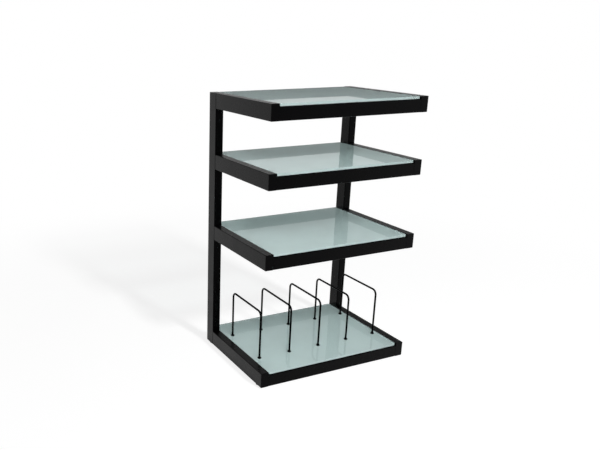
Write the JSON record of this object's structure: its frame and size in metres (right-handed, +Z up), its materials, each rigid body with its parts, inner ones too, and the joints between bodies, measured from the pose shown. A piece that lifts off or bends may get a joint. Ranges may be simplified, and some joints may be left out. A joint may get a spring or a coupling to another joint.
{
  "type": "hi-fi rack",
  "caption": "Open hi-fi rack: black steel tube posts and cantilever arms, pale green-grey glass shelves, and bent wire dividers for records on the bottom shelf.",
  "frame": {"origin": "on the floor under the centre of the rack", "axes": "+Z up, the front of the rack faces -Y, +X to the right as seen from the front"},
  "size_m": [0.6, 0.4196, 0.95],
  "materials": {
    "frame_paint": "satin black powder coat",
    "wire_paint": "satin black powder coat",
    "shelf_glass": "glossy toughened glass with a pale green-grey lacquer under it",
    "strip_rubber": "matt black",
    "bolt_steel": "black zinc",
    "nut_steel": "bright zinc",
    "foot_steel": "black zinc"
  },
  "bodies": {
    "frame": {"left_post": "frame_paint", "right_post": "frame_paint", "left_arm_bottom": "frame_paint", "left_arm_lower": "frame_paint", "left_arm_upper": "frame_paint", "left_arm_top": "frame_paint", "right_arm_bottom": "frame_paint", "right_arm_lower": "frame_paint", "right_arm_upper": "frame_paint", "right_arm_top": "frame_paint", "front_bar_bottom": "frame_paint", "front_bar_lower": "frame_paint", "front_bar_upper": "frame_paint", "front_bar_top": "frame_paint", "rear_bar_bottom": "frame_paint", "rear_bar_lower": "frame_paint", "rear_bar_upper": "frame_paint", "rear_bar_top": "frame_paint", "left_arm_bolt_bottom": "bolt_steel", "left_arm_bolt_lower": "bolt_steel", "left_arm_bolt_upper": "bolt_steel", "left_arm_bolt_top": "bolt_steel", "right_arm_bolt_bottom": "bolt_steel", "right_arm_bolt_lower": "bolt_steel", "right_arm_bolt_upper": "bolt_steel", "right_arm_bolt_top": "bolt_steel", "front_strip_bottom": "strip_rubber", "front_strip_lower": "strip_rubber", "front_strip_upper": "strip_rubber", "front_strip_top": "strip_rubber", "rear_strip_bottom": "strip_rubber", "rear_strip_lower": "strip_rubber", "rear_strip_upper": "strip_rubber", "rear_strip_top": "strip_rubber"},
    "top_shelf": {"glass_top": "shelf_glass"},
    "upper_shelf": {"glass_upper": "shelf_glass"},
    "lower_shelf": {"glass_lower": "shelf_glass"},
    "bottom_shelf": {"glass_bottom": "shelf_glass", "divider_1": "wire_paint", "divider_2": "wire_paint", "divider_3": "wire_paint", "divider_4": "wire_paint", "divider_5": "wire_paint", "divider_nut_1_front": "nut_steel", "divider_nut_1_rear": "nut_steel", "divider_nut_2_front": "nut_steel", "divider_nut_2_rear": "nut_steel", "divider_nut_3_front": "nut_steel", "divider_nut_3_rear": "nut_steel", "divider_nut_4_front": "nut_steel", "divider_nut_4_rear": "nut_steel", "divider_nut_5_front": "nut_steel", "divider_nut_5_rear": "nut_steel"},
    "left_front_foot": {"left_front_foot": "foot_steel"},
    "left_rear_foot": {"left_rear_foot": "foot_steel"},
    "right_front_foot": {"right_front_foot": "foot_steel"},
    "right_rear_foot": {"right_rear_foot": "foot_steel"}
  },
  "joints": [
    {"name": "top_shelf_lift", "type": "slide", "parent": "frame", "child": "top_shelf", "axis": [0, 0, 1], "range_m": [0, 0.15]},
    {"name": "upper_shelf_lift", "type": "slide", "parent": "frame", "child": "upper_shelf", "axis": [0, 0, 1], "range_m": [0, 0.12]},
    {"name": "lower_shelf_lift", "type": "slide", "parent": "frame", "child": "lower_shelf", "axis": [0, 0, 1], "range_m": [0, 0.15]},
    {"name": "bottom_shelf_lift", "type": "slide", "parent": "frame", "child": "bottom_shelf", "axis": [0, 0, 1], "range_m": [0, 0.15]},
    {"name": "left_front_foot_screw", "type": "slide", "parent": "frame", "child": "left_front_foot", "axis": [0, 0, -1], "range_m": [0, 0.01]},
    {"name": "left_rear_foot_screw", "type": "slide", "parent": "frame", "child": "left_rear_foot", "axis": [0, 0, -1], "range_m": [0, 0.01]},
    {"name": "right_front_foot_screw", "type": "slide", "parent": "frame", "child": "right_front_foot", "axis": [0, 0, -1], "range_m": [0, 0.01]},
    {"name": "right_rear_foot_screw", "type": "slide", "parent": "frame", "child": "right_rear_foot", "axis": [0, 0, -1], "range_m": [0, 0.01]}
  ]
}
